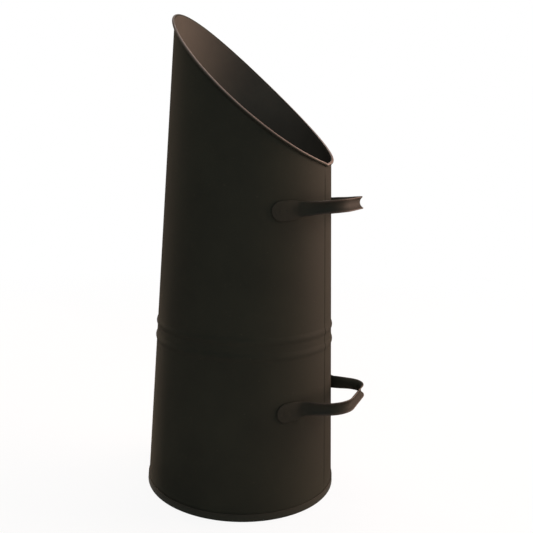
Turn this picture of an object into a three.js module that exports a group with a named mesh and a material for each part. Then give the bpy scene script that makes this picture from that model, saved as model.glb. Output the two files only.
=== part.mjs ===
// Coal scuttle (coal hod): a tapered sheet-steel tube with a slanted mouth, for carrying coal to a
// stove and tipping it in over the tall side. One rolled wall sheet with a lock seam, a base pan
// clinched over its bottom edge, a wire inside the rolled rim, and two pressed channel handles
// welded to the low side by their flat round ends.
//
// Frame: +Z up from the floor, +X from the tube towards the handles, the tall pouring side at -X.
// Azimuths are measured about the tube's own axis, from +X towards +Y.
// The finished group is set over the middle of its own footprint.

import * as THREE from 'three';

// ---------------------------------------------------------------- driving sizes (mm, degrees)

// Tube
const BASE_RADIUS = 99.7;         // outer face of the wall at floor level
const TOP_RADIUS = 76.8;          // outer face of the wall at the height of the tall side
const TALL_SIDE_HEIGHT = 487.5;   // top of the rim on the pouring side
const LOW_SIDE_HEIGHT = 344.2;    // top of the rim on the handle side, without its notch
const SIDE_SAG = 2.9;             // how far the mouth's two sides hang below a plain slant
const SHEET = 0.6;                // thickness of the wall sheet and of the base pan
const CLEARANCE = 0.3;            // gap between pieces that are clinched or welded together

// Two swaged stiffening beads round the tube
const LOWER_BEAD_HEIGHT = 160.5;
const BEAD_SPACING = 15.5;
const BEAD_WIDTH = 10;
const BEAD_RISE = 1.1;

// Lock seam: the wall sheet's two edges hooked together and pressed down to a low band outside
const SEAM_AZIMUTH = -3;          // the seam sits a little to one side of the handles' middle
const SEAM_WIDTH = 5.6;
const SEAM_RISE = 0.5;
const SEAM_FLANK = 1.2;           // width of each sloping side of the band
const SEAM_CLEAR = 2;             // how far the band stops short of the base pan and the rim
const NOTCH_DEPTH = 2.2;          // the mouth's edge drops to a small V where the seam meets it
const NOTCH_REACH = 9;            // length along the rim over which the notch fades

// Rolled rim: the wall sheet curled outwards round a wire
const WIRE_DIAMETER = 1.5;
const WIRE_CLEARANCE = 0.15;
const CURL_START = 180;           // where the sheet begins to follow the wire, on the wall's side
const CURL_END = -100;            // where the sheet's edge ends, under the roll

// Base pan
const HEM_HEIGHT = 7.5;           // the clinched band round the foot
const FOOT_RECESS = 6.2;          // underside of the floor above the surface that it stands on
const FOLD_CHAMFER = 0.45;

// Handles, both pressed with the same tool
const UPPER_WELDS_BELOW_RIM = 46;
const LOWER_WELDS_HEIGHT = 105.2;
const UPPER_HANDLE_TILT = 7.2;    // the upper loop rises a little more than the lower one
const LOWER_HANDLE_TILT = 5.6;
const WELD_SPAN = 121;            // straight across, between the middles of the two pads
const PAD_OVERHANG = 11;          // each pad beyond its weld, along the wall
const ROOT_RADIUS = 10.8;         // turn from the wall into the leg
const LEG_SPLAY = 13;             // the legs stand a little wider apart at the wall
const BEND_RADIUS = 21.3;         // turn from the leg into the grip
const GRIP_STRAIGHT = 36.1;       // straight stretch in the middle of the grip
const GRIP_REACH = 50.3;          // the grip's web beyond the line between the welds
const STRAP_THICKNESS = 1.2;
const PAD_WIDTH = 18.8;
const LEG_WIDTH = 13.6;
const GRIP_WIDTH = 11.8;
const CHANNEL_DEPTH = 3.5;

// Facets
const RING_SEGMENTS = 80;
const CURL_STEPS = 9;
const WIRE_SIDES = 8;
const STRAP_CELLS = 6;            // across the strap's width
const ARC_STEPS = 5;              // along the strap's root, and one more along its bend

// ---------------------------------------------------------------- finishes

const blackPaint = () => new THREE.MeshStandardMaterial({ color: 0x1e1d1a, roughness: 0.5, metalness: 0.1 });
const bareWire = () => new THREE.MeshStandardMaterial({ color: 0x6d6c69, roughness: 0.4, metalness: 0.9 });

// ---------------------------------------------------------------- helpers

const radians = THREE.MathUtils.degToRad;
const smooth = (value, low, high) => THREE.MathUtils.smoothstep(value, low, high);
const mix = THREE.MathUtils.lerp;

/** Skins rings of points into one closed solid. Each ring runs out along one face and back along
 *  the other, so an open skin's ends close as strips between the two faces. */
function loft(rings, closed) {
  const size = rings[0].length;
  const positions = rings.flat().flatMap((point) => [point.x, point.y, point.z]);
  const triangles = [];
  const quad = (a, b, c, d) => triangles.push(a, b, c, a, c, d);
  const spans = closed ? rings.length : rings.length - 1;
  for (let ring = 0; ring < spans; ring += 1) {
    const here = ring * size;
    const next = ((ring + 1) % rings.length) * size;
    for (let i = 0; i < size; i += 1) {
      const j = (i + 1) % size;
      quad(here + i, here + j, next + j, next + i);
    }
  }
  if (!closed) {
    const last = (rings.length - 1) * size;
    for (let i = 0; i < size / 2 - 1; i += 1) {
      quad(i, size - 1 - i, size - 2 - i, i + 1);
      quad(last + i, last + i + 1, last + size - 2 - i, last + size - 1 - i);
    }
  }
  if (signedVolume(positions, triangles) < 0) triangles.reverse();
  const geometry = new THREE.BufferGeometry();
  geometry.setAttribute('position', new THREE.Float32BufferAttribute(positions, 3));
  geometry.setIndex(triangles);
  geometry.computeVertexNormals();
  return geometry;
}

/** Six times the volume inside a triangle skin, negative when its faces point inwards. */
function signedVolume(positions, triangles) {
  const corner = (index) => new THREE.Vector3().fromArray(positions, 3 * index);
  let total = 0;
  for (let i = 0; i < triangles.length; i += 3) {
    const [a, b, c] = [corner(triangles[i]), corner(triangles[i + 1]), corner(triangles[i + 2])];
    total += a.dot(b.cross(c));
  }
  return total;
}

function solid(name, geometry, material) {
  const mesh = new THREE.Mesh(geometry, material);
  mesh.name = name;
  return mesh;
}

// ---------------------------------------------------------------- the tube's form

/** Outer face of the plain tapered tube at a height. */
const wallRadius = (z) => BASE_RADIUS + ((TOP_RADIUS - BASE_RADIUS) * z) / TALL_SIDE_HEIGHT;

/** Top of the rolled rim at an azimuth: a slant across the tube, with sagging sides and the notch. */
function rimHeight(azimuth) {
  const slant = LOW_SIDE_HEIGHT + ((TALL_SIDE_HEIGHT - LOW_SIDE_HEIGHT) * (1 - Math.cos(azimuth))) / 2;
  const sag = SIDE_SAG * Math.sin(azimuth) ** 2;
  const turn = azimuth - radians(SEAM_AZIMUTH);
  const offSeam = Math.abs(Math.atan2(Math.sin(turn), Math.cos(turn))) * wallRadius(LOW_SIDE_HEIGHT);
  return slant - sag - NOTCH_DEPTH * Math.exp(-offSeam / NOTCH_REACH);
}

const curlInner = WIRE_DIAMETER / 2 + WIRE_CLEARANCE;
const curlOuter = curlInner + SHEET;

/** Middle of the rim's wire at an azimuth. */
function rimPoint(azimuth) {
  const z = rimHeight(azimuth) - curlOuter;
  const r = wallRadius(z) + curlInner;
  return new THREE.Vector3(r * Math.cos(azimuth), r * Math.sin(azimuth), z);
}

/** Places points of a section across the rim: x away from the tube's axis, y up square to the rim. */
function rimFrame(azimuth) {
  const step = 1e-3;
  const origin = rimPoint(azimuth);
  const along = rimPoint(azimuth + step).sub(rimPoint(azimuth - step)).normalize();
  const out = new THREE.Vector3(Math.cos(azimuth), Math.sin(azimuth), 0);
  const up = new THREE.Vector3().crossVectors(out, along).normalize();
  return (x, y) => origin.clone().addScaledVector(out, x).addScaledVector(up, y);
}

/** Azimuths round the tube, counted from the seam, with extra ones at the band's edges. */
function wallAzimuths() {
  const seam = radians(SEAM_AZIMUTH);
  const halfBand = SEAM_WIDTH / 2 / BASE_RADIUS;
  const flank = SEAM_FLANK / BASE_RADIUS;
  const turns = [0, halfBand, halfBand + flank, -halfBand, -halfBand - flank];
  const step = (2 * Math.PI) / RING_SEGMENTS;
  for (let turn = step; turn < 2 * Math.PI - step / 2; turn += step) {
    const apart = Math.min(turn, 2 * Math.PI - turn);
    if (apart > halfBand + 1.5 * flank) turns.push(turn);
  }
  return turns
    .map((turn) => (turn + 2 * Math.PI) % (2 * Math.PI))
    .sort((a, b) => a - b)
    .map((turn) => ({ azimuth: seam + turn, band: bandRise(turn, halfBand, flank) }));
}

/** Share of the seam band's rise at a turn from the seam: 1 on the band, 0 beyond its flanks. */
function bandRise(turn, halfBand, flank) {
  const apart = Math.min(turn, 2 * Math.PI - turn);
  return 1 - THREE.MathUtils.clamp((apart - halfBand) / flank, 0, 1);
}

/** Heights and rises of the plain wall between the hem and the rim: both beads, from below. */
function beadProfile() {
  const shares = [-0.5, -0.25, 0, 0.25, 0.5];
  const beads = [LOWER_BEAD_HEIGHT, LOWER_BEAD_HEIGHT + BEAD_SPACING];
  return beads.flatMap((height) => shares.map((share) => ({
    z: height + share * BEAD_WIDTH,
    rise: (BEAD_RISE * (1 + Math.cos(2 * Math.PI * share))) / 2,
  })));
}

// ---------------------------------------------------------------- wall sheet with its rolled rim

const wallFoot = SHEET + CLEARANCE;

/** One upright section of the wall sheet: up the outside, round the curl, and down the inside. */
function wallSection({ azimuth, band }) {
  const at = (r, z) => new THREE.Vector3(r * Math.cos(azimuth), r * Math.sin(azimuth), z);
  const onRim = rimFrame(azimuth);
  const wireHeight = rimPoint(azimuth).z;
  const bandFoot = HEM_HEIGHT + SEAM_CLEAR;
  const bandTop = wireHeight - curlOuter - 2 * SEAM_CLEAR;
  const bandProud = band * SEAM_RISE;
  const beads = beadProfile();

  const outside = [
    at(wallRadius(wallFoot), wallFoot),
    at(wallRadius(bandFoot), bandFoot),
    at(wallRadius(bandFoot) + bandProud, bandFoot + SEAM_RISE),
    ...beads.map(({ z, rise }) => at(wallRadius(z) + rise + bandProud, z)),
    at(wallRadius(bandTop) + bandProud, bandTop),
    at(wallRadius(bandTop), bandTop + SEAM_RISE),
  ];

  const curlPoints = (radius, from, to) => Array.from({ length: CURL_STEPS + 1 }, (_, i) => {
    const angle = radians(mix(from, to, i / CURL_STEPS));
    return onRim(radius * Math.cos(angle), radius * Math.sin(angle));
  });
  const curl = [
    onRim(-curlInner, -curlOuter),
    ...curlPoints(curlInner, CURL_START, CURL_END),
    ...curlPoints(curlOuter, CURL_END, CURL_START),
    onRim(-curlOuter, -curlOuter - SHEET),
  ];

  const inside = [
    at(wallRadius(bandTop) - SHEET, bandTop),
    ...beads.reverse().map(({ z, rise }) => at(wallRadius(z) + rise - SHEET, z)),
    at(wallRadius(wallFoot) - SHEET, wallFoot),
  ];
  return [...outside, ...curl, ...inside];
}

function bodyWall() {
  return solid('body_wall', loft(wallAzimuths().map(wallSection), true), blackPaint());
}

// ---------------------------------------------------------------- wire inside the rim

function rimWire() {
  const section = ({ azimuth }) => {
    const onRim = rimFrame(azimuth);
    return Array.from({ length: WIRE_SIDES }, (_, i) => {
      const angle = (2 * Math.PI * i) / WIRE_SIDES;
      const radius = WIRE_DIAMETER / 2;
      return onRim(radius * Math.cos(angle), radius * Math.sin(angle));
    });
  };
  return solid('rim_wire', loft(wallAzimuths().map(section), true), bareWire());
}

// ---------------------------------------------------------------- base pan

/** A floor set up inside the wall; its edge runs down inside, under the wall's bottom edge and up
 *  round the outside as the hem, so that the fold grips the wall and is the ring it stands on. */
function basePan() {
  const gap = CLEARANCE;
  const legOuter = (z) => wallRadius(z) - SHEET - gap;
  const legInner = (z) => legOuter(z) - SHEET;
  const hemInner = (z) => wallRadius(z) + gap;
  const hemOuter = (z) => hemInner(z) + SHEET;
  const floorTop = FOOT_RECESS + SHEET;
  const cut = FOLD_CHAMFER;
  const profile = [
    [0, FOOT_RECESS],
    [legInner(FOOT_RECESS) - cut, FOOT_RECESS],
    [legInner(FOOT_RECESS), FOOT_RECESS - cut],
    [legInner(cut), cut],
    [legInner(0) + cut, 0],
    [hemOuter(0) - cut, 0],
    [hemOuter(cut), cut],
    [hemOuter(HEM_HEIGHT - cut), HEM_HEIGHT - cut],
    [hemInner(HEM_HEIGHT) + SHEET / 2, HEM_HEIGHT],
    [hemInner(HEM_HEIGHT), HEM_HEIGHT - cut / 2],
    [hemInner(SHEET), SHEET],
    [legOuter(SHEET), SHEET],
    [legOuter(floorTop), floorTop - cut],
    [legOuter(floorTop) - cut, floorTop],
    [0, floorTop],
  ];
  const lathe = new THREE.LatheGeometry(profile.map(([r, z]) => new THREE.Vector2(r, z)), RING_SEGMENTS);
  lathe.rotateX(Math.PI / 2);
  return solid('base_pan', lathe, blackPaint());
}

// ---------------------------------------------------------------- handles

/** Half of a handle's line seen from above, from the tip of one pad to the middle of the grip: along
 *  the wall, round the root, out along the leg and round the bend. Each station has its distance
 *  from the tip, and the line has the distances at which its stretches end. */
function strapLine(height, rise) {
  const standOff = CLEARANCE + STRAP_THICKNESS / 2;
  const wall = wallRadius(height) + standOff;
  const weldX = Math.sqrt(wall ** 2 - (WELD_SPAN / 2) ** 2);
  const splay = radians(LEG_SPLAY);
  const leg = new THREE.Vector2(Math.cos(splay), Math.sin(splay));
  const outer = new THREE.Vector2(Math.sin(splay), -Math.cos(splay));
  const bendCentre = new THREE.Vector2(weldX + GRIP_REACH - BEND_RADIUS, -GRIP_STRAIGHT / 2);
  const legEnd = bendCentre.clone().addScaledVector(outer, BEND_RADIUS);

  // The root's arc touches the leg's line and the wall, on the outer side of both
  const abreast = legEnd.clone().addScaledVector(outer, ROOT_RADIUS);
  const ahead = abreast.dot(leg);
  const legLength = ahead - Math.sqrt(ahead ** 2 - abreast.lengthSq() + (wall + ROOT_RADIUS) ** 2);
  const rootCentre = abreast.clone().addScaledVector(leg, -legLength);
  const rootAzimuth = Math.atan2(rootCentre.y, rootCentre.x);
  const tipAzimuth = -Math.asin(WELD_SPAN / 2 / wall) - PAD_OVERHANG / wall;

  const zAt = (x) => height + (x - weldX) * rise;
  const onPad = (distance) => {
    const azimuth = tipAzimuth + distance / wall;
    const radius = wallRadius(zAt(wall * Math.cos(azimuth))) + standOff;
    return new THREE.Vector2(radius * Math.cos(azimuth), radius * Math.sin(azimuth));
  };
  const onArc = (centre, radius, angle) => new THREE.Vector2(Math.cos(angle), Math.sin(angle))
    .multiplyScalar(radius).add(centre);

  const ends = { pad: (rootAzimuth - tipAzimuth) * wall };
  const rootFrom = rootAzimuth + Math.PI;
  const rootTo = splay + Math.PI / 2;
  ends.root = ends.pad + ROOT_RADIUS * (rootFrom - rootTo);
  ends.leg = ends.root + legLength;
  ends.bend = ends.leg + BEND_RADIUS * (Math.PI / 2 - splay);

  const stations = [];
  const add = (distance, point) => {
    stations.push({ distance, place: new THREE.Vector3(point.x, point.y, zAt(point.x)) });
  };
  const share = (count) => Array.from({ length: count }, (_, i) => (i + 1) / count);
  const tips = [12, 28, 46, 66, 90].map((degrees) => (PAD_WIDTH / 2) * (1 - Math.cos(radians(degrees))));
  tips.forEach((distance) => add(distance, onPad(distance)));
  share(3).forEach((part) => {
    const distance = mix(PAD_WIDTH / 2, ends.pad, part);
    add(distance, onPad(distance));
  });
  share(ARC_STEPS).forEach((part) => {
    add(mix(ends.pad, ends.root, part), onArc(rootCentre, ROOT_RADIUS, mix(rootFrom, rootTo, part)));
  });
  share(2).forEach((part) => {
    add(mix(ends.root, ends.leg, part), legEnd.clone().addScaledVector(leg, (part - 1) * legLength));
  });
  share(ARC_STEPS + 1).forEach((part) => {
    add(mix(ends.leg, ends.bend, part), onArc(bendCentre, BEND_RADIUS, mix(splay - Math.PI / 2, 0, part)));
  });
  return { stations, ends };
}

/** One handle: flat round pads on the wall, which narrow and curl into the channel of the loop. */
function handle(name, height, tilt) {
  const { stations, ends } = strapLine(height, Math.tan(radians(tilt)));
  const mirrored = stations.map(({ distance, place }) => (
    { distance, place: place.clone().setY(-place.y) }
  )).reverse();
  const line = [...stations, ...mirrored];
  const square = new THREE.Vector3(-Math.sin(radians(tilt)), 0, Math.cos(radians(tilt)));
  const tipRound = PAD_WIDTH / 2;

  const rings = line.map(({ distance, place }, i) => {
    const before = line[Math.max(i - 1, 0)].place;
    const after = line[Math.min(i + 1, line.length - 1)].place;
    const along = after.clone().sub(before).normalize();
    const across = acrossStrap(place, square, along, smooth(distance, ends.pad, ends.leg));
    const out = new THREE.Vector3().crossVectors(along, across).normalize();

    const tipShare = Math.sqrt(1 - Math.max(0, 1 - distance / tipRound) ** 2);
    const freeWidth = mix(LEG_WIDTH, GRIP_WIDTH, smooth(distance, ends.root, ends.leg));
    const width = mix(PAD_WIDTH, freeWidth, smooth(distance, ends.pad - tipRound, ends.root)) * tipShare;
    const depth = CHANNEL_DEPTH * smooth(distance, ends.pad - tipRound / 4, ends.leg);
    return channelSection(place, across, out, width, depth);
  });
  return solid(name, loft(rings, false), blackPaint());
}

/** Direction across the strap: up the wall on the pads, square to the handle's own plane beyond. */
function acrossStrap(place, square, along, free) {
  const taper = (BASE_RADIUS - TOP_RADIUS) / TALL_SIDE_HEIGHT;
  const normal = new THREE.Vector3(place.x, place.y, Math.hypot(place.x, place.y) * taper).normalize();
  const onWall = square.clone().addScaledVector(normal, -square.dot(normal)).normalize();
  const across = onWall.lerp(square, free);
  return across.addScaledVector(along, -across.dot(along)).normalize();
}

/** A sheet curled into a shallow channel: an arc of the given width and depth, open towards `out`. */
function channelSection(centre, across, out, width, depth) {
  const halfWidth = width / 2;
  const opening = Math.max(2 * Math.atan(depth / halfWidth), 1e-4);
  const radius = halfWidth / Math.sin(opening);
  const face = (side) => Array.from({ length: STRAP_CELLS + 1 }, (_, i) => {
    const angle = opening * mix(-1, 1, i / STRAP_CELLS);
    const offset = radius - (side * STRAP_THICKNESS) / 2;
    return centre.clone()
      .addScaledVector(across, offset * Math.sin(angle))
      .addScaledVector(out, radius - offset * Math.cos(angle));
  });
  return [...face(1), ...face(-1).reverse()];
}

// ---------------------------------------------------------------- the scuttle

const scuttle = new THREE.Group();
scuttle.name = 'coal_scuttle';
scuttle.add(
  bodyWall(),
  rimWire(),
  basePan(),
  handle('upper_handle', LOW_SIDE_HEIGHT - UPPER_WELDS_BELOW_RIM, UPPER_HANDLE_TILT),
  handle('lower_handle', LOWER_WELDS_HEIGHT, LOWER_HANDLE_TILT),
);
const footprint = new THREE.Box3().setFromObject(scuttle);
scuttle.position.x = -(footprint.min.x + footprint.max.x) / 2;
scuttle.updateMatrixWorld(true);

export default scuttle;
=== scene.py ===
# %% [markdown]
# # A coal scuttle in black powder-coated sheet steel
#
# The object is a tall tapered tube of thin sheet steel with a slanted mouth. Its wall is one sheet,
# closed by a lock seam on the handle side. The upper edge is rolled outwards round a wire, the floor
# is a pan clinched round the bottom edge, and two pressed channel straps make the handles. Everything
# but the wire is powder coated black. The picture lives on slow changes of tone: a dark middle, a
# brighter right flank, a brownish inside, and one thin bright line along the rolled edge.
#
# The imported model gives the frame. Each visible piece is then worked out again as a fine surface in
# the same place, because a smooth reflection shows every facet.

from math import radians

import bmesh
import bpy
import numpy as np
from mathutils import Matrix, Vector


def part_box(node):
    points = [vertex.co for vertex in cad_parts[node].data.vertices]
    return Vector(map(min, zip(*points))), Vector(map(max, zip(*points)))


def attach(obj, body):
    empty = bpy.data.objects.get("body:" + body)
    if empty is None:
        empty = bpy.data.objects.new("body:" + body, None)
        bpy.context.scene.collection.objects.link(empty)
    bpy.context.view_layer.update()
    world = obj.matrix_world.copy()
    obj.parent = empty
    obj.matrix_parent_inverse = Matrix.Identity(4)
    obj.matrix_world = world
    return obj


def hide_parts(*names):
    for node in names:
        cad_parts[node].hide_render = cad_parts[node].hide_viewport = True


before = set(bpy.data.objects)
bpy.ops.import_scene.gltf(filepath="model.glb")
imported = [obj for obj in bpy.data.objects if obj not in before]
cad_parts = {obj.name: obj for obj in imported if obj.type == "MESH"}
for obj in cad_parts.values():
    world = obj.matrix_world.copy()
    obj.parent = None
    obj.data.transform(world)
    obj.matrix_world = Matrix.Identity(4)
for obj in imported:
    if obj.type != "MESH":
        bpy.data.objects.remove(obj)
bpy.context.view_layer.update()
MM = 0.001                      # shapes below are worked out in millimetres, meshes are in metres

pan_low, pan_high = (np.array(corner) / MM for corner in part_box("base_pan"))
AXIS_X = (pan_low[0] + pan_high[0]) / 2      # the tube's own axis, in the frame
print("tube axis at x =", round(AXIS_X, 2), "mm, nodes:", sorted(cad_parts))

# %% [markdown]
# ## Sizes
#
# The same driving sizes as the construction has, in millimetres and degrees. The tube is a cone
# measured at floor level and at the height of its tall side. An azimuth is an angle round the tube. It
# starts at the handles' side, +X, and grows against the clock seen from above.

# %% Sizes of the tube
BASE_RADIUS = 99.7
TOP_RADIUS = 76.8
TALL_SIDE_HEIGHT = 487.5
LOW_SIDE_HEIGHT = 344.2
SIDE_SAG = 2.9                  # how far the two sides of the mouth hang below a plain slant
SHEET = 0.6
CLEARANCE = 0.3                 # gap that stands in for metal pressed or welded together

LOWER_BEAD_HEIGHT = 160.5
BEAD_SPACING = 15.5
BEAD_WIDTH = 10.0
BEAD_RISE = 1.1
print(f"tube {2 * BASE_RADIUS:.1f} mm across the foot, {TALL_SIDE_HEIGHT} mm to its tall side")

# %% Sizes of the seam, the rim and the foot
SEAM_AZIMUTH = -3.0
SEAM_WIDTH = 5.6
SEAM_RISE = 0.5
SEAM_FLANK = 1.2                # width of each sloping side of the seam's band
NOTCH_DEPTH = 2.2               # the V that the seam leaves in the rim
NOTCH_REACH = 9.0

WIRE_DIAMETER = 1.5
WIRE_CLEARANCE = 0.15
CURL_START = 180.0              # degrees round the wire, from where the sheet meets it
CURL_END = -100.0               # to where the rolled edge ends

HEM_HEIGHT = 7.5
FOOT_RECESS = 6.2
print(f"wire {WIRE_DIAMETER} mm, rolled in over {CURL_START - CURL_END:.0f} degrees")

# %% Sizes of the handles
UPPER_WELDS_BELOW_RIM = 46.0
LOWER_WELDS_HEIGHT = 105.2
UPPER_HANDLE_TILT = 7.2
LOWER_HANDLE_TILT = 5.6
WELD_SPAN = 121.0
PAD_OVERHANG = 11.0
ROOT_RADIUS = 10.8              # bend between a pad and its leg
LEG_SPLAY = 13.0
BEND_RADIUS = 21.3              # bend between a leg and the grip
GRIP_STRAIGHT = 36.1
GRIP_REACH = 50.3
STRAP_THICKNESS = 1.2
PAD_WIDTH = 18.8
LEG_WIDTH = 13.6
GRIP_WIDTH = 11.8
CHANNEL_DEPTH = 3.5
print(f"handles {GRIP_WIDTH} mm wide at the grip, of {STRAP_THICKNESS} mm strap")

# %% [markdown]
# ## Small helpers
#
# One function turns a written colour into the linear values that the renderer works in, one adds a
# shader node, and three make an object of a grid of points. A surface here is always a grid: rows run
# one way over it and columns the other, so its faces are found by arithmetic on their numbers.

# %% Colour and node helpers
def linear(hex_colour, alpha=1.0):
    """The sRGB curve undone for each channel of a colour written as #rrggbb."""
    channels = np.array([int(hex_colour[i:i + 2], 16) for i in (1, 3, 5)]) / 255
    low, high = channels / 12.92, ((channels + 0.055) / 1.055) ** 2.4
    return (*np.where(channels <= 0.04045, low, high).tolist(), alpha)


def add_node(tree, kind, links=None, **settings):
    """Adds one node, sets its properties, and gives each named input a value or a link."""
    made = tree.nodes.new(kind)
    for name, value in settings.items():
        setattr(made, name, value)
    for socket, source in (links or {}).items():
        if isinstance(source, bpy.types.NodeSocket):
            tree.links.new(source, made.inputs[socket])
        else:
            made.inputs[socket].default_value = source
    return made


print("middle grey #808080 is", round(linear("#808080")[0], 3), "to the renderer")

# %% Skinning a grid of points
def grid_faces(rows, columns, wrap_rows, wrap_columns):
    """Corner numbers of the quads between neighbouring rows and columns of a grid. They face the
    side from which the row number grows to the right and the column number upwards."""
    r = np.arange(rows if wrap_rows else rows - 1)[:, None]
    c = np.arange(columns if wrap_columns else columns - 1)[None, :]
    r_next, c_next = (r + 1) % rows, (c + 1) % columns
    corners = [r * columns + c, r_next * columns + c, r_next * columns + c_next, r * columns + c_next]
    return np.stack([corner.ravel() for corner in corners], axis=1)


print("a grid of 3 by 4 points has", len(grid_faces(3, 4, False, False)), "faces")

# %% From points to an object
WELD_DISTANCE = 1e-7            # m: the points at a pole lie on each other and become one point
SHARP_ANGLE = 38.0              # degrees between two faces from which their edge is shaded sharp


def mesh_of(name, place, faces, attributes):
    """A mesh from points in metres and quads, each attribute holding one value for each point."""
    mesh = bpy.data.meshes.new(name)
    mesh.vertices.add(len(place))
    mesh.vertices.foreach_set("co", place.ravel())
    mesh.loops.add(faces.size)
    mesh.loops.foreach_set("vertex_index", faces.ravel())
    mesh.polygons.add(len(faces))
    mesh.polygons.foreach_set("loop_start", np.arange(len(faces)) * 4)
    mesh.update(calc_edges=True)
    for key, values in attributes.items():
        mesh.attributes.new(key, "FLOAT", "POINT").data.foreach_set("value", values.ravel())
    return mesh


def make_piece(name, points, faces, material, attributes=None):
    """A mesh object at the origin from points in mm (tube frame) and quads, with smooth faces. The
    volume that it prints is above zero where the faces of a closed skin look outwards."""
    place = (points.reshape(-1, 3) + [AXIS_X, 0, 0]) * MM
    mesh = mesh_of(name, place, faces, attributes or {})
    weld = bmesh.new()
    weld.from_mesh(mesh)
    bmesh.ops.remove_doubles(weld, verts=weld.verts, dist=WELD_DISTANCE)
    closed = all(edge.is_manifold for edge in weld.edges)
    volume = weld.calc_volume(signed=True)
    weld.to_mesh(mesh)
    weld.free()
    mesh.materials.append(material)
    mesh.shade_smooth()
    mesh.set_sharp_from_angle(angle=radians(SHARP_ANGLE))
    piece = bpy.data.objects.new(name, mesh)
    bpy.context.scene.collection.objects.link(piece)
    kind = f"a closed skin round {volume / MM ** 3 / 1000:.1f} cm3" if closed else "an open sheet"
    print(f"{name}: {len(mesh.polygons)} faces, {kind}")
    return piece


print("edges of", SHARP_ANGLE, "degrees and more are shaded sharp")

# %% Helpers for shapes
def smooth(value, low, high):
    """0 below low, 1 above high, and an S-curve between: 3t^2 - 2t^3."""
    t = np.clip((value - low) / (high - low), 0, 1)
    return t * t * (3 - 2 * t)


def unit(vectors):
    """Each vector divided by its length."""
    return vectors / np.linalg.norm(vectors, axis=-1, keepdims=True)


print("an S-curve from 0 to 1 at its quarters:", smooth(np.array([0.25, 0.5, 0.75]), 0, 1))

# %% [markdown]
# ## Camera
#
# The camera stands a little above the middle of the tube, to the left of the handles, and looks
# slightly down. Its place comes from matching the tube's two straight sides, the foot's ellipse and
# the mouth in the photograph with a pinhole camera. It is also turned a little about its own axis.

# %% Camera
CAMERA_SWING = 24.0             # from straight in front of the tube's near side, towards the handles
CAMERA_DISTANCE = 691.8
CAMERA_HEIGHT = 348.7
CAMERA_YAW = -1.748
CAMERA_PITCH = -9.5
CAMERA_ROLL = 1.911
FOCAL_LENGTH_PIXELS = 666.94
PICTURE_PIXELS = 533
SENSOR_WIDTH = 36.0

swing = radians(CAMERA_SWING)
heading = swing + radians(CAMERA_YAW)
level = Vector((-np.sin(heading), np.cos(heading), 0))
look = level * np.cos(radians(CAMERA_PITCH)) + Vector((0, 0, 1)) * np.sin(radians(CAMERA_PITCH))
right = look.cross(Vector((0, 0, 1))).normalized()
up = right.cross(look)
roll = radians(CAMERA_ROLL)
rolled_right = right * np.cos(roll) + up * np.sin(roll)
rolled_up = up * np.cos(roll) - right * np.sin(roll)

camera = bpy.data.objects.new("camera", bpy.data.cameras.new("camera"))
camera.data.sensor_width = SENSOR_WIDTH
camera.data.lens = FOCAL_LENGTH_PIXELS * SENSOR_WIDTH / PICTURE_PIXELS
turn = Matrix((rolled_right, rolled_up, -look)).transposed()
stand = Vector((
    CAMERA_DISTANCE * np.sin(swing) + AXIS_X,
    -CAMERA_DISTANCE * np.cos(swing),
    CAMERA_HEIGHT,
)) * MM
camera.matrix_world = Matrix.Translation(stand) @ turn.to_4x4()
bpy.context.scene.collection.objects.link(camera)
bpy.context.scene.camera = camera
print("camera at", [round(v, 3) for v in stand], "lens", round(camera.data.lens, 2), "mm")

# %% [markdown]
# ## Black powder coat
#
# Powder coat is polyester powder melted onto the steel: a tough matt skin about 0.08 mm thick. It
# flows less than wet paint, so it keeps a fine orange-peel ripple about a millimetre across, and it
# is a soft black, because the pigment is carbon in a slightly brown resin. It could be made with a
# plain plastic gloss, but its matting grains stand up out of the skin and break the mirror image, so
# the roughness is high and the specular level low. Where hands and coal chafe the coat, on the edges
# of the straps and on the rolled rim, most of all on its low side, the grains come off: it is
# paler there, smoother, and shines like any plastic. Along the top of the rolled rim that paler
# colour is also a painted highlight, a thin bright line that stands in for light on the roll. Inside
# the tube the coat is painted paler than outside: painted light for the inside, which the lamps
# hardly reach. The handles' coat is a shade paler than the wall's: painted light for their shaded faces.

# %% The coat's grain and wear
DRIFT_SIZE = 60.0               # mm across the patches where the powder lies a little thicker
PEEL_SIZE = 1.1                 # mm across a ripple of the orange peel
PEEL_HEIGHT = 0.05              # mm
DUST_SIZE = 2.4                 # mm across a smudge of dust
DUST_COLOUR = "#6b6258"
PALER = 1.1                     # how much paler the coat is where it lies thicker
ROUGHNESS_DRIFT = 0.04          # to both sides of a coat's own roughness
WORN_SMOOTHING = 0.4            # how far full wear takes the roughness down
MATT_SHINE = 0.15               # specular level of the matted skin
WORN_SHINE = 0.6                # and of the skin with its grains worn off


def shade(hex_colour, factor):
    """The same hex colour with each channel multiplied, for a paler or darker version of it."""
    channels = [min(255, round(int(hex_colour[i:i + 2], 16) * factor)) for i in (1, 3, 5)]
    return "#" + "".join(f"{channel:02x}" for channel in channels)


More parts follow.
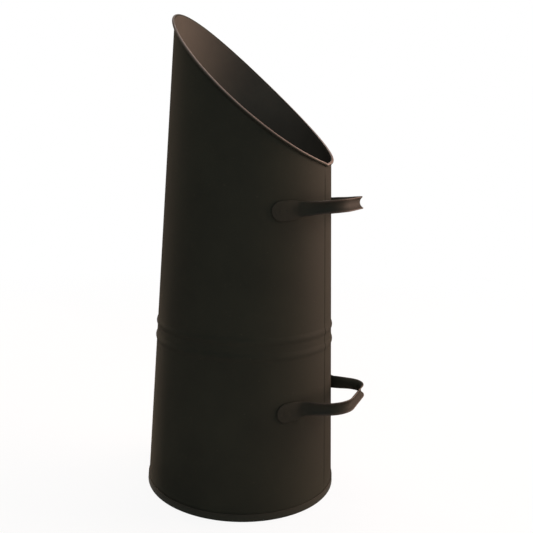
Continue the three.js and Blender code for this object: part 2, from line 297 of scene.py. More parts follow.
def coat_colour(tree, place, drift, wear_and_highlight, coat, worn_and_highlight_colour):
    """The coat's colour: it drifts slowly to a paler shade, fine dust lies on it here and there, and the
    attribute turns it to the paler colour given: rubbed coat on the straps and the hem, and a painted
    highlight along the rolled rim."""
    drifted = add_node(tree, "ShaderNodeMapRange", {
        "Value": drift, "From Min": 0.35, "From Max": 0.65, "To Min": 0.0, "To Max": 1.0})
    ground = add_node(tree, "ShaderNodeMix", {
        "Factor": drifted.outputs["Result"], "A": linear(coat), "B": linear(shade(coat, PALER))},
        data_type="RGBA")
    dust = add_node(tree, "ShaderNodeTexNoise", {
        "Vector": place, "Scale": 1 / (DUST_SIZE * MM), "Detail": 5.0, "Roughness": 0.7})
    speck = add_node(tree, "ShaderNodeMapRange", {
        "Value": dust.outputs["Fac"], "From Min": 0.62, "From Max": 0.78, "To Min": 0.0, "To Max": 0.16})
    dusted = add_node(tree, "ShaderNodeMix", {
        "Factor": speck.outputs["Result"], "A": ground.outputs["Result"], "B": linear(DUST_COLOUR)},
        data_type="RGBA")
    # the paler colour mixed in here is rubbed coat, and a painted highlight on the rolled rim
    worn_and_highlighted = add_node(tree, "ShaderNodeMix", {
        "Factor": wear_and_highlight, "A": dusted.outputs["Result"], "B": linear(worn_and_highlight_colour)}, data_type="RGBA")
    return worn_and_highlighted.outputs["Result"]


print("where the powder lies thicker, #252720 becomes", shade("#252720", PALER))

# %% Powder coat material
def powder_coat(name, coat, worn_and_highlight_colour, roughness):
    """The orange peel is bump, because it is only PEEL_HEIGHT high. The `wear_and_rim_highlight`
    attribute of a piece, from 0 to 1, makes the coat paler, smoother and shinier: rubbed coat on the
    straps and the hem, and on the rolled rim a painted highlight as well."""
    material = bpy.data.materials.new(name)
    material.use_nodes = True
    tree = material.node_tree
    tree.nodes.clear()
    place = add_node(tree, "ShaderNodeTexCoord").outputs["Object"]
    wear_and_highlight = add_node(tree, "ShaderNodeAttribute", attribute_name="wear_and_rim_highlight").outputs["Fac"]
    drift = add_node(tree, "ShaderNodeTexNoise", {
        "Vector": place, "Scale": 1 / (DRIFT_SIZE * MM), "Detail": 3.0, "Roughness": 0.55}).outputs["Fac"]
    colour = coat_colour(tree, place, drift, wear_and_highlight, coat, worn_and_highlight_colour)

    matt = add_node(tree, "ShaderNodeMapRange", {
        "Value": drift, "From Min": 0.3, "From Max": 0.7,
        "To Min": roughness - ROUGHNESS_DRIFT, "To Max": roughness + ROUGHNESS_DRIFT})
    polish = add_node(tree, "ShaderNodeMath", {0: wear_and_highlight, 1: -WORN_SMOOTHING, 2: matt.outputs["Result"]},
                      operation="MULTIPLY_ADD")
    shine = add_node(tree, "ShaderNodeMapRange", {
        "Value": wear_and_highlight, "To Min": MATT_SHINE, "To Max": WORN_SHINE})
    peel = add_node(tree, "ShaderNodeTexNoise", {
        "Vector": place, "Scale": 1 / (PEEL_SIZE * MM), "Detail": 1.5, "Roughness": 0.5})
    ripple = add_node(tree, "ShaderNodeBump", {
        "Height": peel.outputs["Fac"], "Strength": 0.35, "Distance": PEEL_HEIGHT * MM})
    surface = add_node(tree, "ShaderNodeBsdfPrincipled", {
        "Base Color": colour, "Roughness": polish.outputs[0], "IOR": 1.5,
        "Specular IOR Level": shine.outputs["Result"], "Normal": ripple.outputs["Normal"]})
    add_node(tree, "ShaderNodeOutputMaterial", {"Surface": surface.outputs[0]})
    print(f"{name}: {coat}, worn to {worn_and_highlight_colour}, roughness {roughness}")
    return material


# 7b6e67 is rubbed coat and, on the rolled rim, the colour of a painted highlight line
coat_outside = powder_coat("black_powder_coat", "#252720", "#7b6e67", 0.8)
# The inside coat is painted paler than the outside: painted light standing in for light inside the tube.
coat_inside_painted_lit = powder_coat("black_powder_coat_inside_painted_lit", "#44423c", "#7b6e67", 0.8)
# The handles' coat is a shade paler than the wall's: painted light for the handles' shaded faces.
coat_handles_painted_paler = powder_coat("black_powder_coat_handles_painted_paler", "#272822", "#5a4c42", 0.72)

# %% [markdown]
# ## The tube's wall
#
# The real wall is one flat blank, rolled to a cone, hooked together at the seam, pressed out in two
# beads, and turned over a wire along its slanted top. It could be made by cutting a cone with a
# boolean and giving it a thickness, but the roll has to follow the cut. So the middle surface of the
# sheet is worked out instead, a grid with the azimuth one way and the path up the wall and round the
# rolled rim the other way. Half the sheet's thickness to each side of it then gives the outer and the
# inner face. That keeps the roll's thickness true, and the seam only adds its rise to the outer face.

# %% The wall's form
def wall_radius(z):
    """Outer face of the plain cone: a straight line from the foot's radius to the top's."""
    return BASE_RADIUS + (TOP_RADIUS - BASE_RADIUS) * z / TALL_SIDE_HEIGHT


def rim_height(azimuth):
    """Top of the roll: a cosine slant from low to tall side, less a sag of the two sides (sine
    squared), less the V at the seam (an exponential of the arc from it)."""
    slant = LOW_SIDE_HEIGHT + (TALL_SIDE_HEIGHT - LOW_SIDE_HEIGHT) * (1 - np.cos(azimuth)) / 2
    turn = azimuth - radians(SEAM_AZIMUTH)
    off_seam = np.abs(np.arctan2(np.sin(turn), np.cos(turn))) * wall_radius(LOW_SIDE_HEIGHT)
    return slant - SIDE_SAG * np.sin(azimuth) ** 2 - NOTCH_DEPTH * np.exp(-off_seam / NOTCH_REACH)


CURL_INNER = WIRE_DIAMETER / 2 + WIRE_CLEARANCE
CURL_OUTER = CURL_INNER + SHEET
CURL_MIDDLE = CURL_INNER + SHEET / 2
CREST_SINK = 0.03               # how much lower the round roll sits, to stay inside the frame's flats
SLOPE_STEP = 1e-3               # radians to each side, for the direction of the rim's line


def rim_wire_centre(azimuth):
    """Middle of the wire: below the top of the roll, outside the wall by the roll's inner radius."""
    z = rim_height(azimuth) - CURL_OUTER - CREST_SINK
    r = wall_radius(z) + CURL_INNER
    return np.stack([r * np.cos(azimuth), r * np.sin(azimuth), z], axis=-1)


def rim_axes(azimuth):
    """Two directions of the roll's section: away from the tube's axis, and the one square both to
    that and to the rim's line, which points up along the wall."""
    along = unit(rim_wire_centre(azimuth + SLOPE_STEP) - rim_wire_centre(azimuth - SLOPE_STEP))
    out = np.stack([np.cos(azimuth), np.sin(azimuth), 0 * azimuth], axis=-1)
    return out, unit(np.cross(out, along))


low_lip, tall_tip = rim_height(np.array([0, np.pi]))
print(f"rim from {low_lip:.1f} to {tall_tip:.1f} mm high, with a roll {2 * CURL_OUTER:.1f} mm thick")

# %% The wall's grid
AZIMUTH_STEPS = 288
SEAM_STEPS = 44                 # closer steps across the seam
SEAM_SURROUND = 1.7             # how far they reach to each side of it, in widths of the seam
HEM_MARGIN = 1.0                # the open wall is taken to begin this far above the hem
HEM_LEVELS = 4
LOWER_LEVELS = 19
BEAD_LEVELS = 40
UPPER_LEVELS = 25
CURL_CELLS = 30
BEND_CELLS = 8
ROLL_APPROACH = 5.0             # height below the wire at which the bend into the roll begins

even = np.arange(AZIMUTH_STEPS) * 2 * np.pi / AZIMUTH_STEPS
seam_half = SEAM_SURROUND * SEAM_WIDTH / BASE_RADIUS
around = np.sort(np.concatenate([
    even[(even > seam_half) & (even < 2 * np.pi - seam_half)],
    np.linspace(-seam_half, seam_half, SEAM_STEPS) % (2 * np.pi),
])) + radians(SEAM_AZIMUTH)

bead_heights = [LOWER_BEAD_HEIGHT, LOWER_BEAD_HEIGHT + BEAD_SPACING]
wall_foot = SHEET + CLEARANCE
beads_low = bead_heights[0] - BEAD_WIDTH / 2
beads_high = bead_heights[1] + BEAD_WIDTH / 2
fixed_levels = np.concatenate([
    np.linspace(wall_foot, HEM_HEIGHT + HEM_MARGIN, HEM_LEVELS)[:-1],
    np.linspace(HEM_HEIGHT + HEM_MARGIN, beads_low, LOWER_LEVELS)[:-1],
    np.linspace(beads_low, beads_high, BEAD_LEVELS),
])
upper_shares = np.linspace(0, 1, UPPER_LEVELS + 1)[1:]
CONE_LEVELS = len(fixed_levels) + UPPER_LEVELS       # points up the sheet before the bend into the roll
print(len(around), "azimuths,", CONE_LEVELS, "levels,", BEND_CELLS + CURL_CELLS, "cells in bend and roll")

# %% The sheet's middle surface
LEAVE_PULL = 2.0                # how long the bend into the roll keeps the direction of the wall
ARRIVE_PULL = 1.6               # and how early it takes the direction of the roll


def bead_rise(z):
    """Both beads: a raised cosine across each bead's width, and nothing beyond it."""
    rise = np.zeros_like(z)
    for height in bead_heights:
        share = np.clip((z - height) / BEAD_WIDTH, -0.5, 0.5)
        rise += BEAD_RISE * (1 + np.cos(2 * np.pi * share)) / 2
    return rise


def wall_middle():
    """Grid [azimuth, path] of the sheet's middle surface. The path climbs the cone, leaves it on a
    cubic curve whose ends follow the wall and the roll, and goes round the wire on an arc from
    CURL_START down to CURL_END degrees."""
    wire = rim_wire_centre(around)
    out, rise = rim_axes(around)
    top = wire[:, 2] - ROLL_APPROACH
    upper = beads_high + upper_shares[None, :] * (top[:, None] - beads_high)
    lower = np.broadcast_to(fixed_levels, (len(around), len(fixed_levels)))
    z = np.concatenate([lower, upper], axis=1)
    r = wall_radius(z) - SHEET / 2 + bead_rise(z)
    cone = np.stack([r * np.cos(around)[:, None], r * np.sin(around)[:, None], z], axis=-1)

    def on_roll(degrees):
        angle = np.radians(degrees)
        x, y = CURL_MIDDLE * np.cos(angle), CURL_MIDDLE * np.sin(angle)
        return wire[:, None] + out[:, None] * x[None, :, None] + rise[:, None] * y[None, :, None]

    roll = on_roll(np.linspace(CURL_START, CURL_END, CURL_CELLS + 1))
    start, end = cone[:, -1], roll[:, 0]
    leave = unit(cone[:, -1] - cone[:, -2]) * LEAVE_PULL
    arrive = unit(roll[:, 1] - roll[:, 0]) * ARRIVE_PULL
    t = np.linspace(0, 1, BEND_CELLS + 1)[1:-1, None]
    bend = ((1 - t) ** 3 * start[:, None] + 3 * (1 - t) ** 2 * t * (start + leave)[:, None]
            + 3 * (1 - t) * t ** 2 * (end - arrive)[:, None] + t ** 3 * end[:, None])
    return np.concatenate([cone, bend, roll], axis=1)


middle = wall_middle()
print("middle surface:", middle.shape[0], "by", middle.shape[1], "points")

# %% The sheet's two faces
SEAM_FADE_IN = (2.0, 4.0)       # from the hem upwards: the seam's rise begins and is full
SEAM_FADE_OUT = (1.0, 4.0)      # from the bend into the roll downwards: it has ended and is full


def seam_profile():
    """Rise of the lock seam above the wall: a flat band between two sides, each an S-curve."""
    turn = np.abs((around - radians(SEAM_AZIMUTH) + np.pi) % (2 * np.pi) - np.pi)
    return SEAM_RISE * smooth(-turn * BASE_RADIUS, -SEAM_WIDTH / 2 - SEAM_FLANK, -SEAM_WIDTH / 2)


def sheet_faces():
    """Outer and inner face: the middle surface moved half the thickness along its normal, which is
    the cross product of its two directions. The outer face also rises along the seam."""
    across = np.roll(middle, -1, axis=0) - np.roll(middle, 1, axis=0)
    upward = np.gradient(middle, axis=1)
    normal = unit(np.cross(across, upward))
    height = middle[:, :, 2]
    above_hem = height - HEM_HEIGHT
    below_bend = height[:, CONE_LEVELS - 1][:, None] - height
    open_wall = smooth(above_hem, *SEAM_FADE_IN) * smooth(below_bend, *SEAM_FADE_OUT)
    open_wall[:, CONE_LEVELS:] = 0
    rise = seam_profile()[:, None] * open_wall
    return middle + normal * (SHEET / 2 + rise)[..., None], middle - normal * SHEET / 2


outer_face, inner_face = sheet_faces()
print("seam stands out by", round(float(seam_profile().max()), 2), "mm")

# %% The wall
TALL_SIDE_WEAR_AND_HIGHLIGHT = 0.4            # strength of the roll's paler band on the tall side, rubbed coat and painted highlight, where the low lip counts as 1
WEAR_AND_HIGHLIGHT_BEGINS = (3, 9)            # cells round the roll between which its paler band, rubbed coat and painted highlight, sets in
WEAR_AND_HIGHLIGHT_ENDS = (13, 22)            # and between which it dies away


# Painted highlight: the paler colour along the roll's top stands in for the bright line of light on the
# rim; the coat there is also rubbed smoother and shinier.
def roll_wear_and_painted_highlight():
    """Paler band of the rolled edge [azimuth, path]: rubbed coat, and along the roll's top a painted
    highlight line. S-curves in and out round the roll, times a cosine from the low lip to the tall
    side."""
    turned_over = np.arange(middle.shape[1]) - (CONE_LEVELS + BEND_CELLS - 1)
    low_side = (1 + np.cos(around))[:, None] / 2
    handled = TALL_SIDE_WEAR_AND_HIGHLIGHT + (1 - TALL_SIDE_WEAR_AND_HIGHLIGHT) * low_side
    return handled * smooth(turned_over, *WEAR_AND_HIGHLIGHT_BEGINS) * (1 - smooth(turned_over, *WEAR_AND_HIGHLIGHT_ENDS))


def body_wall():
    """One closed grid: up the outer face, over the rolled edge and down the inner face. The roll turns
    the sheet's inner face outwards, so that face carries the roll's paler band of rubbed coat and
    painted highlight, and is coated as the outside down to where it leaves the wire."""
    section = np.concatenate([outer_face, inner_face[:, ::-1]], axis=1)
    # the roll's paler band: rubbed coat and a painted highlight
    wear_and_highlight = roll_wear_and_painted_highlight()
    wear_and_rim_highlight = np.concatenate([0 * wear_and_highlight, wear_and_highlight[:, ::-1]], axis=1)
    rows, columns = section.shape[:2]
    faces = grid_faces(rows, columns, True, True)
    piece = make_piece("tube_wall", section, faces, coat_outside, {"wear_and_rim_highlight": wear_and_rim_highlight})
    # the inside of the tube takes the paler coat, painted light
    piece.data.materials.append(coat_inside_painted_lit)
    column = np.tile(np.arange(columns), rows)
    inside = (column >= columns // 2 + CURL_CELLS).astype(np.int32)
    piece.data.polygons.foreach_set("material_index", inside)
    return piece


wall = body_wall()
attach(wall, "root")
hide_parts("body_wall")

# %% [markdown]
# ## The base pan
#
# The floor is a pressed pan whose edge goes down inside the wall, under its bottom edge and up
# round the outside, where it is closed tight. It is a turned shape, so one profile is carried round
# the axis. A Screw modifier would turn it too, but a grid shows which way its faces look, and its
# poles close when their points are welded. The folds are small arcs, about as large as the sheet is
# thick, because pressed steel has no sharp corner.

# %% The pan's profile
FLOOR_FOLD = 0.9                # radius between the floor and the leg
FOOT_FOLD = 0.55                # radius of the two folds that the scuttle stands on


def arc_points(centre, radius, start, end, count):
    """Points of an arc in the profile's plane, from start to end degrees."""
    angle = np.radians(np.linspace(start, end, count))
    return np.stack([centre[0] + radius * np.cos(angle), centre[1] + radius * np.sin(angle)], axis=1)


def pan_profile():
    """Outline [r, z] of the pan's section, from the axis back to the axis: under the floor, down the
    leg, round the foot, up the hem, over its edge, down inside the fold, up the leg again and back
    over the floor."""
    def leg_outer(z):
        return wall_radius(z) - SHEET - CLEARANCE

    def hem_inner(z):
        return wall_radius(z) + CLEARANCE

    floor_top = FOOT_RECESS + SHEET
    leg_inner = leg_outer(0) - SHEET
    hem_outer = hem_inner(FOOT_FOLD) + SHEET
    edge = hem_inner(HEM_HEIGHT) + SHEET / 2
    top_fold = FLOOR_FOLD + SHEET
    parts = [
        [[0, FOOT_RECESS]],
        arc_points((leg_inner - FLOOR_FOLD, FOOT_RECESS - FLOOR_FOLD), FLOOR_FOLD, 90, 0, count=8),
        arc_points((leg_inner + FOOT_FOLD, FOOT_FOLD), FOOT_FOLD, 180, 270, count=8),
        arc_points((hem_outer - FOOT_FOLD, FOOT_FOLD), FOOT_FOLD, 270, 360, count=8),
        arc_points((edge, HEM_HEIGHT - SHEET / 2), SHEET / 2, 0, 180, count=12),
        [[hem_inner(SHEET), SHEET]],
        [[leg_outer(SHEET), SHEET]],
        arc_points((leg_outer(floor_top) - top_fold, floor_top - top_fold), top_fold, 0, 90, count=10),
        [[0, floor_top]],
    ]
    return np.concatenate([np.array(part, float) for part in parts])


def turned(profile, steps):
    """Grid [turn, profile] of a profile [r, z] carried round the axis."""
    angle = np.arange(steps) * 2 * np.pi / steps
    r, z = profile[:, 0], profile[:, 1]
    x, y = np.cos(angle)[:, None] * r, np.sin(angle)[:, None] * r
    return np.stack([x, y, np.broadcast_to(z, x.shape)], axis=-1)


profile = pan_profile()
print("pan's profile:", len(profile), "points, out to", round(float(profile[:, 0].max()), 2), "mm")

# %% The pan
PAN_STEPS = 240
HEM_WEAR = 0.08                 # slight wear on the hem's upper edge
HEM_WEAR_BAND = 0.6             # height over which it sets in

hem_rub = HEM_WEAR * smooth(profile[:, 1], HEM_HEIGHT - HEM_WEAR_BAND, HEM_HEIGHT)
pan_grid = turned(profile, PAN_STEPS)
pan_faces = grid_faces(PAN_STEPS, len(profile), True, False)
pan_rub = np.broadcast_to(hem_rub, pan_grid.shape[:2]).copy()
pan = make_piece("pan", pan_grid, pan_faces, coat_outside, {"wear_and_rim_highlight": pan_rub})
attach(pan, "root")
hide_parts("base_pan")

# %% [markdown]
# ## The handles
#
# Each handle is one strap pressed to a shallow channel that opens away from the loop, so that no
# edge meets the fingers. The channel runs out to a flat round pad at each end, and the pad lies on
# the wall. A curve with a bevel profile could make the loop, but its section stays the same all
# along. So a section is carried along a line by formula: the line gives the loop seen from above, and
# the section's width and depth change with the distance along it.

# %% The strap's line
def strap_ends(height):
    """The places that the line is made of, all in the loop's plane seen from above: the wall under
    the pad, the leg's direction, the centres of the root's and the bend's arcs, and the distance
    from the pad's tip at which each stretch ends."""
    stand_off = CLEARANCE + STRAP_THICKNESS / 2
    wall_line = wall_radius(height) + stand_off
    weld_x = np.sqrt(wall_line ** 2 - (WELD_SPAN / 2) ** 2)
    splay = radians(LEG_SPLAY)
    leg = np.array([np.cos(splay), np.sin(splay)])
    outer = np.array([np.sin(splay), -np.cos(splay)])
    bend_centre = np.array([weld_x + GRIP_REACH - BEND_RADIUS, -GRIP_STRAIGHT / 2])
    leg_end = bend_centre + outer * BEND_RADIUS
    abreast = leg_end + outer * ROOT_RADIUS
    ahead = abreast @ leg
    leg_length = ahead - np.sqrt(ahead ** 2 - abreast @ abreast + (wall_line + ROOT_RADIUS) ** 2)
    root_centre = abreast - leg * leg_length
    root_azimuth = np.arctan2(root_centre[1], root_centre[0])
    tip_azimuth = -np.arcsin(WELD_SPAN / 2 / wall_line) - PAD_OVERHANG / wall_line
    pad = (root_azimuth - tip_azimuth) * wall_line
    root = pad + ROOT_RADIUS * (root_azimuth + np.pi - splay - np.pi / 2)
    bend = root + leg_length + BEND_RADIUS * (np.pi / 2 - splay)
    return {
        "wall": wall_line, "weld_x": weld_x, "leg": leg, "leg_end": leg_end, "splay": splay,
        "bend_centre": bend_centre, "root_centre": root_centre, "root_azimuth": root_azimuth,
        "tip_azimuth": tip_azimuth,
        "at_pad": pad, "at_root": root, "at_leg": root + leg_length, "at_bend": bend,
        "half": bend + GRIP_STRAIGHT / 2,
    }


lower_ends = strap_ends(LOWER_WELDS_HEIGHT)
print("strap of the lower handle:", round(2 * lower_ends["half"], 1), "mm long")

# %% Points along the strap
def strap_places(distance, height, rise, ends):
    """Points of the line at distances from the pad's tip, for the half at negative y: on the wall,
    round the root's arc, along the leg, round the bend's arc and along the grip."""
    def arc(centre, radius, start, end, low, high):
        angle = start + (end - start) * np.clip((distance - low) / (high - low), 0, 1)
        return centre + radius * np.stack([np.cos(angle), np.sin(angle)], axis=1)

    on_wall = ends["tip_azimuth"] + distance / ends["wall"]
    z_pad = height + (ends["wall"] * np.cos(on_wall) - ends["weld_x"]) * rise
    r_pad = wall_radius(z_pad) + CLEARANCE + STRAP_THICKNESS / 2
    pad = r_pad[:, None] * np.stack([np.cos(on_wall), np.sin(on_wall)], axis=1)
    root = arc(ends["root_centre"], ROOT_RADIUS, ends["root_azimuth"] + np.pi,
               ends["splay"] + np.pi / 2, ends["at_pad"], ends["at_root"])
    leg = ends["leg_end"] + ends["leg"] * (distance - ends["at_leg"])[:, None]
    bend = arc(ends["bend_centre"], BEND_RADIUS, ends["splay"] - np.pi / 2, 0,
               ends["at_leg"], ends["at_bend"])
    grip = ends["bend_centre"] + np.stack([
        np.full_like(distance, BEND_RADIUS), distance - ends["at_bend"]], axis=1)
    stretch = np.searchsorted([ends[key] for key in ("at_pad", "at_root", "at_leg", "at_bend")], distance)
    plan = np.choose(stretch[:, None], [pad, root, leg, bend, grip])
    z = height + (plan[:, 0] - ends["weld_x"]) * rise
    return np.concatenate([plan, z[:, None]], axis=1)


grip_x = strap_places(np.array([lower_ends["half"]]), LOWER_WELDS_HEIGHT, 0.0, lower_ends)[0, 0]
print("its grip stands", round(float(grip_x), 1), "mm from the tube's axis")

# %% The strap's stations and directions
STRAP_STEP = 0.9                # spacing of the sections along the strap
TIP_SECTIONS = 16               # closer sections on the pad's round end
TIP_START = 0.03                # radians round the tip at which the first section lies
TIP_ROUND = PAD_WIDTH / 2


def strap_stations(ends):
    """Distances of the sections from a pad's tip to the middle of the grip: even angles round the
    tip's circle, then even steps."""
    tip = TIP_ROUND * (1 - np.cos(np.linspace(TIP_START, np.pi / 2, TIP_SECTIONS)))
    rest = np.arange(TIP_ROUND + STRAP_STEP, ends["half"], STRAP_STEP)
    return np.concatenate([tip, rest])


def strap_directions(line, free, tilt):
    """Two directions for each section: across the strap's width, and out of its open side. On the pad
    the width lies along the cone. As the strap gets free of it, the width turns square to the loop's
    plane, and it is always square to the line."""
    along = unit(np.gradient(line, axis=0))
    square = np.array([-np.sin(radians(tilt)), 0, np.cos(radians(tilt))])
    taper = (BASE_RADIUS - TOP_RADIUS) / TALL_SIDE_HEIGHT
    plan_length = np.hypot(line[:, 0], line[:, 1])
    wall_normal = unit(np.stack([line[:, 0], line[:, 1], plan_length * taper], axis=1))
    up_wall = unit(square - wall_normal * (wall_normal @ square)[:, None])
    across = up_wall + (square - up_wall) * free
    across = unit(across - along * np.einsum("ij,ij->i", across, along)[:, None])
    return across, unit(np.cross(along, across))


print("sections on half a handle:", len(strap_stations(lower_ends)))

# %% The strap's sizes along its length
EDGE_ROUND = 0.45               # how far the rounded edges reach beyond the two faces
LEAST_HALF_WIDTH = 1.05 * EDGE_ROUND    # at the tip, where the circle has no width
LEAST_THICKNESS = 0.05
CHANNEL_LEAD = TIP_ROUND / 4            # how far the hollow runs out onto the pad


def strap_sizes(distance, ends):
    """Half the width, the depth and the thickness at each section. The width follows a circle at the
    tip and narrows by S-curves from the pad to the leg and to the grip. The depth grows by one
    S-curve, and the thickness ends in a small round."""
    tip_share = np.sqrt(1 - np.clip(1 - distance / TIP_ROUND, 0, 1) ** 2)
    free_width = LEG_WIDTH + (GRIP_WIDTH - LEG_WIDTH) * smooth(distance, ends["at_root"], ends["at_leg"])
    width = PAD_WIDTH + (free_width - PAD_WIDTH) * smooth(
        distance, ends["at_pad"] - TIP_ROUND, ends["at_root"])
    depth = CHANNEL_DEPTH * smooth(distance, ends["at_pad"] - CHANNEL_LEAD, ends["at_leg"])
    tip_edge = np.clip(1 - distance / EDGE_ROUND, 0, 1)
    half_width = np.maximum(width * tip_share / 2, LEAST_HALF_WIDTH)
    thickness = np.maximum(STRAP_THICKNESS * np.sqrt(1 - tip_edge ** 2), LEAST_THICKNESS)
    return half_width, depth, thickness


grip_sizes = np.concatenate(strap_sizes(np.array([lower_ends["half"]]), lower_ends))
print("half width, depth and thickness at the grip:", grip_sizes.round(2), "mm")

# %% Points round one section
SECTION_CELLS = 22              # across each face
EDGE_CELLS = 7                  # round each edge, an odd number so that the end caps close

over_face = np.linspace(-1, 1, SECTION_CELLS + 1)
face, edge = np.ones(SECTION_CELLS + 1), np.ones(EDGE_CELLS - 1)
turn = np.linspace(0, np.pi, EDGE_CELLS + 1)[1:-1]

# Out along one face, round the edge, back along the other face and round the other edge: the share of
# the way to the edge, the side from 1 on the outer face to -1 on the inner, and the reach of the round.
share = np.concatenate([over_face, edge, -over_face, -edge])
side = np.concatenate([face, np.cos(turn), -face, -np.cos(turn)])
beyond = np.concatenate([0 * face, np.sin(turn), 0 * face, -np.sin(turn)])
print("points round a section:", len(share))

# %% The strap's section
LEAST_OPENING = 1e-4            # radians, so that a flat section still has a radius
WELD_SPOTS = (6.0, 14.0)        # distances of the two spot welds from a pad's tip
WELD_SPOT_RADIUS = 2.1
WELD_SPOT_FLAT = 1.05           # radius of its flat middle
WELD_SPOT_DEPTH = 0.22


def strap_section(distance, half_width, depth, thickness):
    """Outline of each section [x across, y out]. An arc opens to each side by twice the arctangent of
    depth over half the width, less the edge's round. Its radius is half the width over the sine of
    that. Half the thickness to both sides gives the faces, and a round closes each edge. The spot
    welds press dimples into the outer face, with an S-curve for a wall."""
    opening = np.maximum(2 * np.arctan(depth / half_width), LEAST_OPENING)
    radius = half_width / np.sin(opening)
    opening -= EDGE_ROUND / radius
    angle = opening[:, None] * share
    spot = np.zeros_like(angle)
    for weld in WELD_SPOTS:
        apart = np.hypot(distance[:, None] - weld, radius[:, None] * angle)
        spot += smooth(-apart, -WELD_SPOT_RADIUS, -WELD_SPOT_FLAT)
    offset = side * thickness[:, None] / 2 - WELD_SPOT_DEPTH * spot * (side == 1)
    to_face = radius[:, None] - offset
    x = to_face * np.sin(angle) + beyond * EDGE_ROUND * np.cos(angle)
    y = radius[:, None] - to_face * np.cos(angle) + beyond * EDGE_ROUND * np.sin(angle)
    return x, y


def end_caps(rows, columns):
    """Quads across the first and the last section: a strip from one edge to the other, whose rungs
    join a point of one face with the point opposite to it."""
    rung = np.arange(columns // 2)
    near = (rung - (EDGE_CELLS - 1) // 2) % columns
    far = (columns - EDGE_CELLS - near) % columns
    strip = np.stack([near[:-1], near[1:], far[1:], far[:-1]], axis=1)
    return np.concatenate([strip, strip[:, ::-1] + (rows - 1) * columns])


print("an end cap has", len(end_caps(2, len(share))) // 2, "faces")

# %% The two handles
EDGE_WEAR = 0.4                 # wear of the strap's edges where it stands free
EDGE_WEAR_POWER = 8             # the higher, the closer the wear keeps to the edges


def handle(name, node, height, tilt):
    """The line of the half at negative y and its mirror image, a section at each station, and a cap
    on each end. The rubbing of the edges is a power of the share of the way to the section's edge,
    and sets in as the strap gets free of the wall."""
    rise = np.tan(radians(tilt))
    ends = strap_ends(height)
    half = strap_stations(ends)
    places = strap_places(half, height, rise, ends)
    line = np.concatenate([places, places[::-1] * [1, -1, 1]])
    distance = np.concatenate([half, half[::-1]])
    free = smooth(distance, ends["at_pad"], ends["at_leg"])[:, None]
    across, out = strap_directions(line, free, tilt)
    x, y = strap_section(distance, *strap_sizes(distance, ends))
    points = line[:, None] + across[:, None] * x[..., None] + out[:, None] * y[..., None]
    wear_and_rim_highlight = EDGE_WEAR * np.abs(share) ** EDGE_WEAR_POWER * free
    rows, columns = points.shape[:2]
    faces = np.concatenate([grid_faces(rows, columns, False, True), end_caps(rows, columns)])
    piece = make_piece(name, points, faces, coat_handles_painted_paler, {"wear_and_rim_highlight": wear_and_rim_highlight})
    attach(piece, "root")
    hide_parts(node)


handle("grip_upper", "upper_handle", LOW_SIDE_HEIGHT - UPPER_WELDS_BELOW_RIM, UPPER_HANDLE_TILT)
handle("grip_lower", "lower_handle", LOWER_WELDS_HEIGHT, LOWER_HANDLE_TILT)

# %% [markdown]
# ## The wire in the rim
#
# Drawn steel wire, left bare. The roll hides nearly all of it, so the construction's own wire stays
# and only gets its finish: steel greyed by the drawing die, with a fine mottle.

# %% Drawn steel wire
MOTTLE_SIZE = 0.8               # mm, drawn coarser than the die's marks, which would not show
wire_finish = bpy.data.materials.new("drawn_steel_wire")
wire_finish.use_nodes = True
tree = wire_finish.node_tree
tree.nodes.clear()
place = add_node(tree, "ShaderNodeTexCoord").outputs["Object"]
mottle = add_node(tree, "ShaderNodeTexNoise", {
    "Vector": place, "Scale": 1 / (MOTTLE_SIZE * MM), "Detail": 3.0})
tone = add_node(tree, "ShaderNodeMix", {
    "Factor": mottle.outputs["Fac"], "A": linear("#77756f"), "B": linear("#a5a29b")}, data_type="RGBA")
steel = add_node(tree, "ShaderNodeBsdfPrincipled", {
    "Base Color": tone.outputs["Result"], "Metallic": 1.0, "Roughness": 0.38})
add_node(tree, "ShaderNodeOutputMaterial", {"Surface": steel.outputs[0]})
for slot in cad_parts["rim_wire"].material_slots:
    slot.material = wire_finish
print("rim_wire:", wire_finish.name)

# %% [markdown]
# ## Floor, room and light
#
# The photograph is a cut-out on white. Here the object stands on a pale floor whose colour runs out
# to white, under a white surround. A large soft box stands to the right and a little behind, as the
# bright right flank and the lit back of the mouth show. A tall one behind on the left lights the left
# edge, and a small one near the floor adds to it low down. One high in front is a weak fill that
# reaches into the mouth and evens out the beads, and one above draws the line along the rim.
#
# A white room mirrored in the coat would turn it grey. Black objects are therefore photographed with
# black cloth round them: the coat mirrors the cloth, and the cloth is out of the picture.

# %% White for the eye only
def seen_directly(tree):
    """1 for rays from the camera and for those mirrored or let through on the way, else 0."""
    path = add_node(tree, "ShaderNodeLightPath")
    camera_or_gloss = add_node(tree, "ShaderNodeMath", {
        0: path.outputs["Is Camera Ray"], 1: path.outputs["Is Glossy Ray"]}, operation="ADD")
    direct = add_node(tree, "ShaderNodeMath", {
        0: camera_or_gloss.outputs[0], 1: path.outputs["Is Transmission Ray"]},
        operation="ADD", use_clamp=True)
    return direct.outputs[0]


print("plain white is kept for rays from the camera, mirrored or let through")

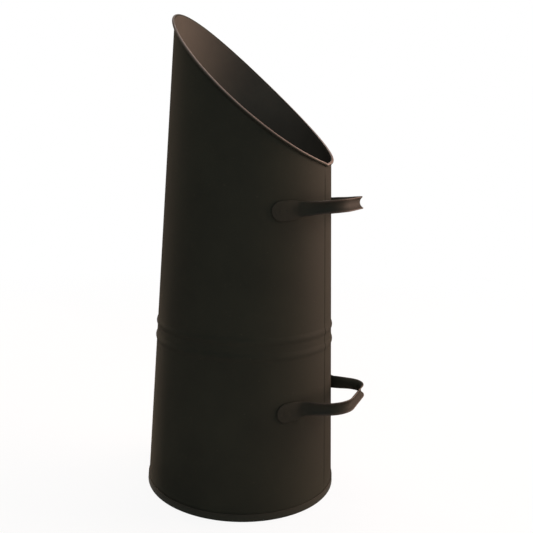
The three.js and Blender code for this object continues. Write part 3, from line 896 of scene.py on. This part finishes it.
# %% Floor
FLOOR_RADIUS = 9.0              # m
FLOOR_RINGS = 24
FLOOR_STEPS = 96
FLOOR_NEAR_SHARE = 0.9          # share of plain white in what is seen of the floor near the object
FLOOR_FADE = (0.15, 1.3)        # m from the middle: where that share begins to grow, and where it is 1
rings = np.stack([np.linspace(0, FLOOR_RADIUS / MM, FLOOR_RINGS), np.zeros(FLOOR_RINGS)], axis=1)
floor_grid = turned(rings, FLOOR_STEPS)[:, ::-1]        # from the edge inwards, so that it faces up
floor_finish = bpy.data.materials.new("pale_floor")
floor_finish.use_nodes = True
tree = floor_finish.node_tree
tree.nodes.clear()
place = add_node(tree, "ShaderNodeTexCoord").outputs["Object"]
away = add_node(tree, "ShaderNodeVectorMath", {0: place}, operation="LENGTH")
fade = add_node(tree, "ShaderNodeMapRange", {
    "Value": away.outputs["Value"], "From Min": FLOOR_FADE[0], "From Max": FLOOR_FADE[1],
    "To Min": FLOOR_NEAR_SHARE, "To Max": 1.0})
glow_share = add_node(tree, "ShaderNodeMath", {
    0: fade.outputs["Result"], 1: seen_directly(tree)}, operation="MULTIPLY")
matt = add_node(tree, "ShaderNodeBsdfDiffuse", {"Color": linear("#f4f4f4")})
glow = add_node(tree, "ShaderNodeEmission", {"Color": linear("#ffffff"), "Strength": 1.0})
mixed = add_node(tree, "ShaderNodeMixShader", {
    0: glow_share.outputs[0], 1: matt.outputs[0], 2: glow.outputs[0]})
add_node(tree, "ShaderNodeOutputMaterial", {"Surface": mixed.outputs[0]})
floor = make_piece("floor", floor_grid, grid_faces(FLOOR_STEPS, FLOOR_RINGS, True, False), floor_finish)

# %% Surround
SURROUND_STRENGTH = 0.24        # light that the room gives, where white for the eye is 1
world = bpy.data.worlds.new("surround")
bpy.context.scene.world = world
world.use_nodes = True
tree = world.node_tree
tree.nodes.clear()
dim = add_node(tree, "ShaderNodeBackground", {"Color": linear("#fbfcff"), "Strength": SURROUND_STRENGTH})
white = add_node(tree, "ShaderNodeBackground", {"Color": linear("#ffffff"), "Strength": 1.0})
mixed = add_node(tree, "ShaderNodeMixShader", {
    0: seen_directly(tree), 1: dim.outputs[0], 2: white.outputs[0]})
add_node(tree, "ShaderNodeOutputWorld", {"Surface": mixed.outputs[0]})
print("surround gives light of strength", SURROUND_STRENGTH)

# %% Black curtain
CURTAIN_SWEEP = (-222, 118)     # azimuths, open behind on the left
CURTAIN_STEPS = 48
CURTAIN_OUTLINE = [(1000, 3000), (2200, 2300), (2200, 3), (104, 3)]      # mm from the axis, mm high


def black_curtain():
    """Black cloth on the floor and hung round the object, open above and behind: an outline [r, z]
    swept through most of a turn. Only mirrored light meets it."""
    cloth = bpy.data.materials.new("black_velvet")
    cloth.use_nodes = True
    tree = cloth.node_tree
    tree.nodes.clear()
    matt = add_node(tree, "ShaderNodeBsdfDiffuse", {"Color": linear("#141312")})
    add_node(tree, "ShaderNodeOutputMaterial", {"Surface": matt.outputs[0]})
    angle = np.radians(np.linspace(*CURTAIN_SWEEP, CURTAIN_STEPS + 1))[:, None]
    r, z = np.array(CURTAIN_OUTLINE, float).T
    x, y = np.cos(angle) * r, np.sin(angle) * r
    grid = np.stack([x, y, np.broadcast_to(z, x.shape)], axis=-1)
    curtain = make_piece("curtain", grid, grid_faces(*grid.shape[:2], False, False), cloth)
    curtain.visible_camera = curtain.visible_diffuse = curtain.visible_shadow = False
    curtain.visible_transmission = curtain.visible_volume_scatter = False


black_curtain()

# %% Lamps
AIM_HEIGHT = 0.22               # m, near the middle of the tube's height


def soft_box(name, azimuth, distance, height, size, power, colour, aim_height=AIM_HEIGHT, spread=180):
    """An area lamp round the middle of the frame, aimed at a height above it, in metres, degrees and
    watts. A spread below 180 degrees stands for a honeycomb grid in front of it."""
    lamp = bpy.data.lights.new(name, "AREA")
    lamp.shape = "RECTANGLE"
    lamp.size, lamp.size_y = size
    lamp.energy = power
    lamp.color = linear(colour)[:3]
    lamp.spread = radians(spread)
    stand = bpy.data.objects.new(name, lamp)
    at = Vector((distance * np.cos(radians(azimuth)), distance * np.sin(radians(azimuth)), height))
    aim = Vector((0, 0, aim_height)) - at
    stand.matrix_world = Matrix.Translation(at) @ aim.to_track_quat("-Z", "Y").to_matrix().to_4x4()
    bpy.context.scene.collection.objects.link(stand)
    print(f"{name}: {power} W, {size[0]} x {size[1]} m, {distance} m away")


soft_box("key_right", azimuth=38, distance=1.5, height=0.5, size=(1.2, 1.4),
         power=44, colour="#ffd6c3")
soft_box("edge_left", azimuth=168, distance=1.6, height=0.4, size=(0.9, 1.2),
         power=8.5, colour="#ffe2c8")
soft_box("foot_left", azimuth=152, distance=1.1, height=0.14, size=(0.3, 0.24),
         power=0.28, colour="#ffe2c8", aim_height=-0.02, spread=22)
soft_box("front_high", azimuth=-70, distance=1.2, height=1.5, size=(1.2, 0.5),
         power=5.6, colour="#f6fcff")
soft_box("top", azimuth=96, distance=0.4, height=1.75, size=(0.7, 0.7),
         power=13, colour="#ffe8dc")

# %% [markdown]
# ## View
#
# The Standard view transform shows a colour as it is written, where the default one would soften it.

# %% View
scene = bpy.context.scene
scene.view_settings.view_transform = "Standard"
print("view transform:", scene.view_settings.view_transform)
